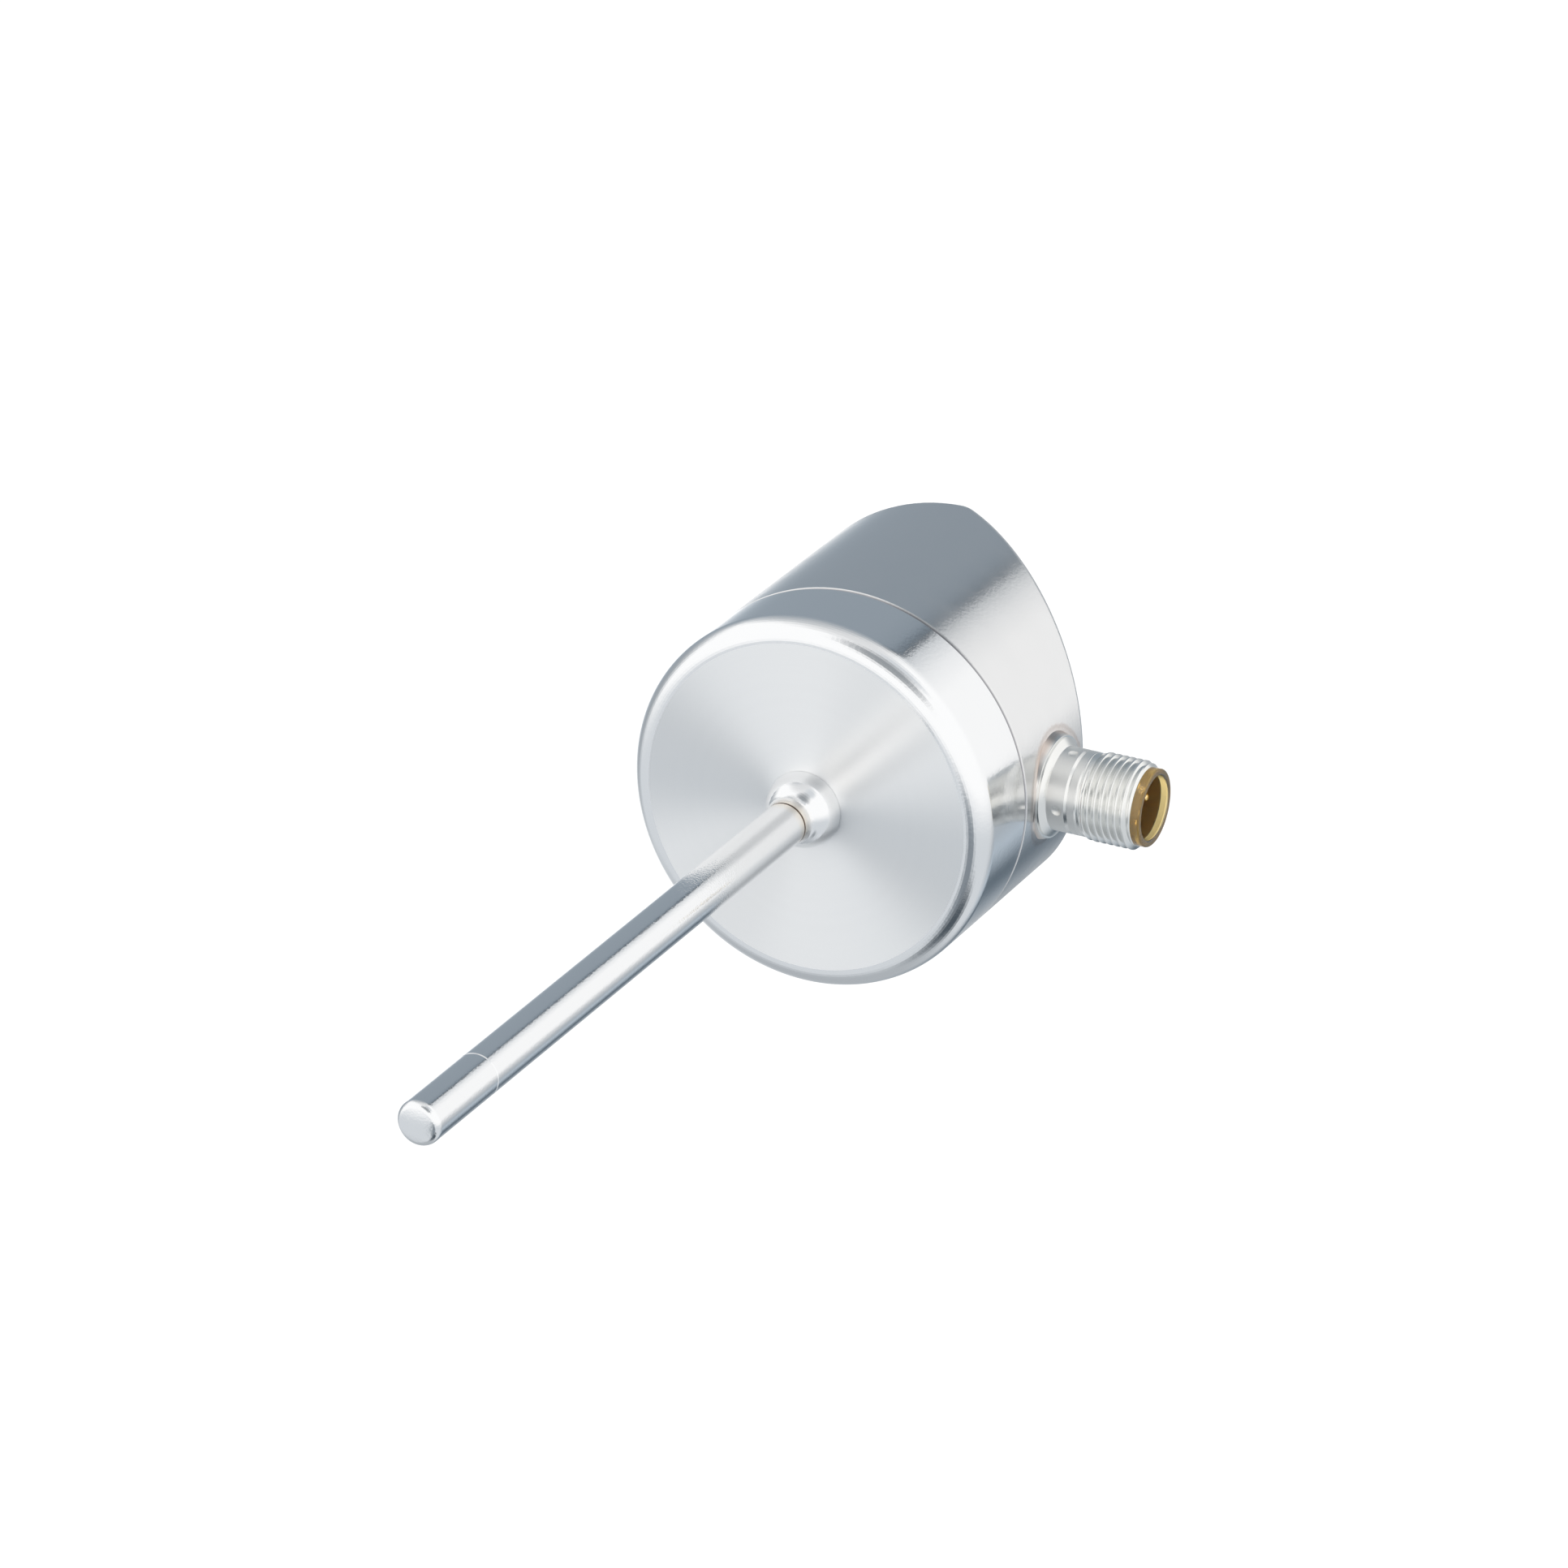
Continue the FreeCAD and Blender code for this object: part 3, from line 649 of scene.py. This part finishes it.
def band(maker, ring, following, look):
    """Faces between two rings of vertices."""
    for step in range(len(ring)):
        after = (step + 1) % len(ring)
        corners = dict.fromkeys((ring[step], ring[after], following[after], following[step]))
        if len(corners) > 2:
            made = maker.faces.new(tuple(corners))
            made.material_index = look


def finished(maker, name):
    bmesh.ops.remove_doubles(maker, verts=maker.verts, dist=SAME_POINT)
    bmesh.ops.recalc_face_normals(maker, faces=maker.faces)
    for made in maker.faces:
        made.smooth = True
    mesh = bpy.data.meshes.new(name)
    maker.to_mesh(mesh)
    maker.free()
    mesh.set_sharp_from_angle(angle=math.radians(SHARP_ANGLE))
    return mesh


def lathe(name, outline, looks, node):
    """Piece turned about the Y axis from (radius, y, look) points, in place of a CAD node."""
    maker = bmesh.new()
    points = supported(outline)
    turns = turns_in(ROUND_STEPS)
    rings = []
    for radius, length, look in points:
        rings.append(ring_of(maker, [
            (radius * math.cos(turn), length, radius * math.sin(turn)) for turn in turns]))
    for index, ring in enumerate(rings):
        band(maker, ring, rings[(index + 1) % len(rings)], looks.index(points[index][2]))
    return piece(name, finished(maker, name), looks, node)


def piece(name, mesh, looks, node):
    made = bpy.data.objects.new(name, mesh)
    bpy.context.scene.collection.objects.link(made)
    for look in looks:
        mesh.materials.append(look)
    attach(made, root)
    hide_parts(node)
    return made


def boss_points():
    """Outline of the boss from its weld seam, round the neck, to the face."""
    reach = BALL_RADIUS + NECK_FILLET
    centre = (STEM_RADIUS + NECK_FILLET, -math.sqrt(reach ** 2 - (STEM_RADIUS + NECK_FILLET) ** 2))
    blend = math.degrees(math.atan2(-centre[1], centre[0]))
    points = [(STEM_RADIUS - SEAM_GROOVE, SEAM_Y, stem), (STEM_RADIUS, SEAM_Y + SEAM_HALF_WIDTH, stem)]
    points += [(*point, stem) for point in arc(centre, NECK_FILLET, 180, 180 - blend)[:-1]]
    points += [(*point, ball) for point in arc((0, 0), BALL_RADIUS, -blend, 0)]
    points.append((BALL_RADIUS, BALL_RELIEF_DEPTH, face))
    points.append((BALL_RADIUS + BALL_RELIEF_WIDTH, BALL_RELIEF_DEPTH, face))
    points.append((BALL_RADIUS + BALL_RELIEF_WIDTH, 0, face))
    return points


def front_cap():
    edge = arc((HOUSING_RADIUS - CAP_EDGE_RADIUS, CAP_EDGE_RADIUS), CAP_EDGE_RADIUS, -90, 0)
    fillet_centre = (CAP_BORE_RADIUS - FLOOR_FILLET, CAP_WALL + FLOOR_FILLET)
    outline = boss_points()
    outline += [(*point, side) for point in edge]
    outline += [
        (HOUSING_RADIUS, CAP_LENGTH - JOINT_CHAMFER - JOINT_SLOT, side),
        (HOUSING_RADIUS - JOINT_CHAMFER, CAP_LENGTH - JOINT_SLOT, side),
        (HOUSING_RADIUS - JOINT_SLOT_DEPTH, CAP_LENGTH - JOINT_SLOT, side),
        (HOUSING_RADIUS - JOINT_SLOT_DEPTH, CAP_LENGTH, side),
        (SPIGOT_RADIUS, CAP_LENGTH, side),
        (SPIGOT_RADIUS, CAP_LENGTH + SPIGOT_LENGTH, side),
        (CAP_BORE_RADIUS, CAP_LENGTH + SPIGOT_LENGTH, side),
    ]
    outline += [(*point, side) for point in arc(fillet_centre, FLOOR_FILLET, 0, -90)]
    outline += [(STEM_BORE, CAP_WALL, side), (STEM_BORE, SEAM_Y, side)]
    return lathe("cap_body", outline, [side, face, ball, stem], "front_cap")


def stem_tube():
    outline = [
        (STEM_RADIUS - SEAM_GROOVE, SEAM_Y, stem),
        (STEM_RADIUS, SEAM_Y - SEAM_HALF_WIDTH, stem),
        (STEM_RADIUS, TIP_SEAM_Y + SEAM_HALF_WIDTH, stem),
        (STEM_RADIUS - SEAM_GROOVE, TIP_SEAM_Y, stem),
        (STEM_BORE, TIP_SEAM_Y, stem),
        (STEM_BORE, SEAM_Y, stem),
    ]
    return lathe("stem_body", outline, [stem], "stem_tube")


def tip_end():
    """Outline of the tip's slightly domed end and its rounded edge."""
    flat_radius = STEM_RADIUS - TIP_EDGE_RADIUS
    lean = math.radians(TIP_DOME_ANGLE)
    dome_radius = TIP_EDGE_RADIUS + flat_radius / math.sin(lean)
    edge_place = TIP_END_Y + dome_radius - (dome_radius - TIP_EDGE_RADIUS) * math.cos(lean)
    dome = arc((0, TIP_END_Y + dome_radius), dome_radius, -90, TIP_DOME_ANGLE - 90)
    edge = arc((flat_radius, edge_place), TIP_EDGE_RADIUS, TIP_DOME_ANGLE - 90, 0)
    return [(0, TIP_END_Y)] + dome[1:] + edge[1:]


def stem_tip():
    outline = [(*point, stem) for point in tip_end()]
    outline += [
        (STEM_RADIUS, TIP_SEAM_Y - SEAM_HALF_WIDTH, stem),
        (STEM_RADIUS - SEAM_GROOVE, TIP_SEAM_Y, stem),
        (REGISTER_RADIUS, TIP_SEAM_Y, stem),
        (REGISTER_RADIUS, TIP_SEAM_Y + REGISTER_LENGTH, stem),
        (TIP_BORE, TIP_SEAM_Y + REGISTER_LENGTH, stem),
        (TIP_BORE, TIP_END_Y + TIP_WALL, stem),
        (0, TIP_END_Y + TIP_WALL, stem),
    ]
    return lathe("tip_body", outline, [stem], "stem_tip")


# Plug connector

def thread_profile():
    """(share of the pitch, height above the root) points of one thread turn."""
    height = THREAD_CREST - THREAD_ROOT
    near = THREAD_CREST_HALF + THREAD_ROUNDING
    far = 0.5 - THREAD_ROOT_HALF - THREAD_ROUNDING
    slight = height * THREAD_ROUNDING / 2
    full = height * THREAD_ROUNDING * THREAD_FLANK_DROP
    half = [
        (0, height),
        (THREAD_CREST_HALF, height - slight),
        (near, height - full),
        ((near + far) / 2, height / 2),
        (far, full),
        (0.5 - THREAD_ROOT_HALF, slight),
        (0.5, 0),
    ]
    return half + [(1 - share, rise) for share, rise in reversed(half[1:-1])]


def thread_blank(distance):
    """Radius of the turned blank that the thread is cut into."""
    widened = min(max(1 + (distance - THREAD_PLACE) / THREAD_RUN_IN, 0), 1)
    kept = min((PLUG_END - distance) / THREAD_LEAD, 1)
    start = NECK_RADIUS + (THREAD_CREST - NECK_RADIUS) * widened
    end = THREAD_END_RADIUS + (THREAD_CREST - THREAD_END_RADIUS) * kept
    return min(start, end)


def thread_root(distance):
    """Radius at the bottom of the cut, which runs out shallow at the neck."""
    fade = max(1 - (distance - CUT_PLACE) / CUT_FADE, 0)
    return THREAD_ROOT + (NECK_RADIUS - THREAD_ROOT) * fade


def add_thread(maker):
    """Right-handed thread whose rows of vertices follow the helix, clipped at both ends."""
    profile = thread_profile()
    per_turn = len(profile)
    pitches = math.ceil((PLUG_END - CUT_PLACE) / THREAD_PITCH) + 1
    turns = turns_in(PLUG_STEPS)
    rows = []
    for index in range(pitches * per_turn + 1):
        share, rise = profile[index % per_turn]
        row = []
        for step, turn in enumerate(turns):
            distance = CUT_PLACE + THREAD_PITCH * (index // per_turn + share - step / PLUG_STEPS)
            distance = min(max(distance, CUT_PLACE), PLUG_END)
            radius = min(thread_root(distance) + rise, thread_blank(distance))
            row.append(maker.verts.new(plug_point(radius, distance, "plain", turn)))
        rows.append(row)
    for index, (row, following) in enumerate(zip(rows, rows[1:])):
        for step in range(PLUG_STEPS - 1):
            maker.faces.new((row[step], row[step + 1], following[step + 1], following[step]))
        before = max(index - per_turn, 0)
        after = max(index + 1 - per_turn, 0)
        corners = dict.fromkeys((row[-1], rows[before][0], rows[after][0], following[-1]))
        maker.faces.new(tuple(corners))


def dimple_sink(distance, turn):
    """How far the staking marks press the neck in at a point."""
    spacing = 2 * math.pi / DIMPLE_COUNT
    nearest = (turn - math.radians(DIMPLE_TURN) + spacing / 2) % spacing - spacing / 2
    away = math.hypot(distance - DIMPLE_PLACE, nearest * NECK_RADIUS)
    share = away / DIMPLE_RADIUS
    return DIMPLE_DEPTH * (1 - share ** 2) if share < 1 else 0


def steps_between(start, end, step):
    """Evenly spaced places from the start up to, but without, the end."""
    count = math.ceil((end - start) / step - ROUNDING)
    return [start + (end - start) * index / count for index in range(count)]


def collar_outline():
    """(radius, distance, kind) points from the foot of the weld over the stepped collar."""
    step_radius = COLLAR_RADIUS - COLLAR_STEP
    small = COLLAR_ROUND / 2
    rim = arc((COLLAR_RADIUS - COLLAR_ROUND, COLLAR_HEIGHT - COLLAR_ROUND), COLLAR_ROUND, 0, 90)
    points = [(WELD_RADIUS, 0, "weld"), (COLLAR_RADIUS, WELD_RISE, "plain")]
    points += [(*point, "plain") for point in rim[::COLLAR_STRIDE]]
    points += [
        (step_radius, COLLAR_HEIGHT, "plain"),
        (step_radius, COLLAR_TOP - small, "plain"),
        (step_radius - small, COLLAR_TOP, "plain"),
    ]
    return points


def plug_outline():
    """Points from the foot of the weld out to the sleeve's end and back inside."""
    groove_floor = RING_GROOVE + RING_GROOVE_RUN
    points = collar_outline()
    for distance in steps_between(COLLAR_TOP + RAMP_HEIGHT, RING_GROOVE, NECK_STEP):
        points.append((NECK_RADIUS, distance, "neck"))
    points += [
        (NECK_RADIUS, RING_GROOVE, "plain"),
        (NECK_RADIUS - RING_GROOVE_DEPTH, groove_floor, "plain"),
        (NECK_RADIUS, groove_floor + RING_GROOVE_RETURN, "neck"),
        (NECK_RADIUS, CUT_PLACE, "thread"),
        (THREAD_END_RADIUS, PLUG_END, "plain"),
        (SHELL_BORE, PLUG_END, "plain"),
        (SHELL_BORE, SHOULDER, "plain"),
        (REAR_BORE, SHOULDER, "plain"),
        (REAR_BORE, STUB_START, "plain"),
        (STUB_RADIUS, STUB_START, "plain"),
        (STUB_RADIUS, 0, "foot"),
    ]
    return points


def plug_point(radius, distance, kind, turn):
    """Point of the sleeve; the weld and its foot follow the round housing."""
    x = HOUSING_RADIUS + distance
    if kind == "weld":
        radius = COLLAR_RADIUS + (radius - COLLAR_RADIUS) * math.sin(turn) ** 2
    if kind in ("weld", "foot"):
        x = math.sqrt((HOUSING_RADIUS - FOOT_SINK) ** 2 - (radius * math.sin(turn)) ** 2)
    if kind == "neck":
        radius -= dimple_sink(distance, turn)
    return (x, PLUG_Y - radius * math.cos(turn), radius * math.sin(turn))


def connector_shell():
    """Turned sleeve with its collar, staking marks, ring groove and helical thread."""
    maker = bmesh.new()
    looks = [plug, neck]
    outline = plug_outline()
    turns = turns_in(PLUG_STEPS)
    rings = []
    for radius, distance, kind in outline:
        rings.append(ring_of(maker, [plug_point(radius, distance, kind, turn) for turn in turns]))
    for index, ring in enumerate(rings):
        kind = outline[index][2]
        look = neck if kind == "neck" else plug
        if kind != "thread":
            band(maker, ring, rings[(index + 1) % len(rings)], looks.index(look))
    add_thread(maker)
    return piece("plug_body", finished(maker, "plug_body"), looks, "connector_shell")


# Camera, studio and floor

def camera():
    azimuth = math.radians(VIEW_AZIMUTH)
    elevation = math.radians(VIEW_ELEVATION)
    roll = math.radians(VIEW_ROLL)
    back = Vector((
        math.sin(azimuth) * math.cos(elevation),
        -math.cos(azimuth) * math.cos(elevation),
        math.sin(elevation)))
    level = Vector((math.cos(azimuth), math.sin(azimuth), 0))
    right = level * math.cos(roll) + back.cross(level) * math.sin(roll)
    up = back.cross(right)
    data = bpy.data.cameras.new("camera")
    data.lens = LENS
    data.sensor_width = SENSOR
    made = bpy.data.objects.new("camera", data)
    bpy.context.scene.collection.objects.link(made)
    place = back * VIEW_DISTANCE + right * AIM_RIGHT + up * AIM_UP
    made.matrix_world = Matrix.Translation(place) @ Matrix((right, up, back)).transposed().to_4x4()
    bpy.context.scene.camera = made


def ramp(tree, factor, stops):
    """Colour ramp from (place, colour) stops in rising order."""
    node = put(tree, "ValToRGB", {"Fac": factor})
    elements = node.color_ramp.elements
    while len(elements) > 1:
        elements.remove(elements[-1])
    elements[0].position = stops[0][0]
    elements[0].color = stops[0][1]
    for place, colour in stops[1:]:
        added = elements.new(place)
        added.color = colour
    return node.outputs["Color"]


def screen_colour(level, coolness):
    """Light grey that leans to blue by its coolness."""
    return (level * (1 - coolness), level, level * (1 + coolness), 1)


def rear_screens(tree, split):
    """Ring of screens behind the part, round a plain one in its middle."""
    turn = maths(tree, "ARCTAN2", split["Z"], split["X"])
    share = maths(tree, "MULTIPLY_ADD", turn, 0.5 / math.pi, 0.5)
    stops = [(angle / 360 + 0.5, screen_colour(*screen)) for angle, *screen in REAR_RING]
    ring = ramp(tree, share, stops)
    middle_edge = [math.cos(math.radians(angle)) for angle in REAR_MIDDLE_ANGLES]
    middle = ranged(tree, split["Y"], *middle_edge, 0.0, 1.0, True)
    return mixed(tree, middle, ring, screen_colour(*REAR_MIDDLE))


def front_screens(tree, ray, split):
    """Light from above and below in front, with soft screens laid over it."""
    raised = ranged(tree, split["Z"], BRIGHT_START, BRIGHT_FULL, 0.0, 1.0, True)
    colour = mixed(tree, raised, screen_colour(*LOWER_FRONT), screen_colour(*UPPER_FRONT))
    for direction, inner, outer, *screen in SCREENS:
        inputs = {0: ray, 1: Vector(direction).normalized()}
        facing = put(tree, "VectorMath", inputs, operation="DOT_PRODUCT").outputs["Value"]
        edge = [math.cos(math.radians(angle)) for angle in (outer, inner)]
        near = ranged(tree, facing, *edge, 0.0, 1.0, True)
        colour = mixed(tree, near, colour, screen_colour(*screen))
    return colour


def studio_colour(tree):
    """What the steel reflects, by the direction of the ray."""
    ray = put(tree, "TexCoord").outputs["Generated"]
    ray = put(tree, "VectorMath", {0: ray}, operation="NORMALIZE").outputs[0]
    split = put(tree, "SeparateXYZ", {0: ray}).outputs
    behind = ranged(tree, split["Y"], REAR_START, REAR_FULL, 0.0, 1.0, True)
    return mixed(tree, behind, front_screens(tree, ray, split), rear_screens(tree, split))


def studio():
    """White to the camera, the screens to shiny surfaces and plain light to the rest."""
    world = bpy.data.worlds.new("studio")
    world.use_nodes = True
    bpy.context.scene.world = world
    tree = world.node_tree
    tree.nodes.clear()
    path = put(tree, "LightPath").outputs
    shiny = maths(tree, "MAXIMUM", path["Is Glossy Ray"], path["Is Transmission Ray"])
    plain = put(tree, "Background", {"Color": WHITE, "Strength": ROOM_LIGHT}).outputs[0]
    screens = put(tree, "Background", {"Color": studio_colour(tree), "Strength": 1.0}).outputs[0]
    white = put(tree, "Background", {"Color": WHITE, "Strength": 1.0}).outputs[0]
    lit = put(tree, "MixShader", {0: shiny, 1: plain, 2: screens}).outputs[0]
    seen = put(tree, "MixShader", {0: path["Is Camera Ray"], 1: lit, 2: white}).outputs[0]
    put(tree, "OutputWorld", {"Surface": seen})


def key_lamp():
    """One soft lamp that gives the plastic its shape and the floor its shadow."""
    data = bpy.data.lights.new("key", "SUN")
    data.energy = KEY_STRENGTH
    data.angle = math.radians(KEY_SOFTNESS)
    lamp = bpy.data.objects.new("key", data)
    bpy.context.scene.collection.objects.link(lamp)
    lamp.location = KEY_PLACE
    lamp.rotation_euler = (-Vector(KEY_PLACE)).to_track_quat("-Z", "Y").to_euler()
    lamp.visible_glossy = False


def floor_look():
    """Part paint that takes the shadow, part glow that lifts it to white."""
    look = bpy.data.materials.new("floor")
    look.use_nodes = True
    tree = look.node_tree
    tree.nodes.clear()
    paint = put(tree, "BsdfDiffuse", {"Color": (FLOOR_PAINT, FLOOR_PAINT, FLOOR_PAINT, 1)}).outputs[0]
    seen = put(tree, "LightPath").outputs["Is Camera Ray"]
    strength = maths(tree, "MULTIPLY", seen, FLOOR_GLOW)
    glow = put(tree, "Emission", {"Color": WHITE, "Strength": strength}).outputs[0]
    both = put(tree, "AddShader", {0: paint, 1: glow}).outputs[0]
    put(tree, "OutputMaterial", {"Surface": both})
    return look


def floor():
    height = cad_box[0][2] - FLOOR_DROP
    half = FLOOR_SIZE / 2
    corners = [(x * half, y * half, height) for x, y in ((-1, -1), (1, -1), (1, 1), (-1, 1))]
    mesh = bpy.data.meshes.new("floor")
    mesh.from_pydata(corners, [], [(0, 1, 2, 3)])
    mesh.materials.append(floor_look())
    made = bpy.data.objects.new("floor", mesh)
    bpy.context.scene.collection.objects.link(made)
    made.visible_glossy = False
    made.visible_transmission = False


dress_nodes()
front_cap()
stem_tube()
stem_tip()
connector_shell()
camera()
studio()
key_lamp()
floor()

bpy.context.scene.view_settings.view_transform = "Standard"
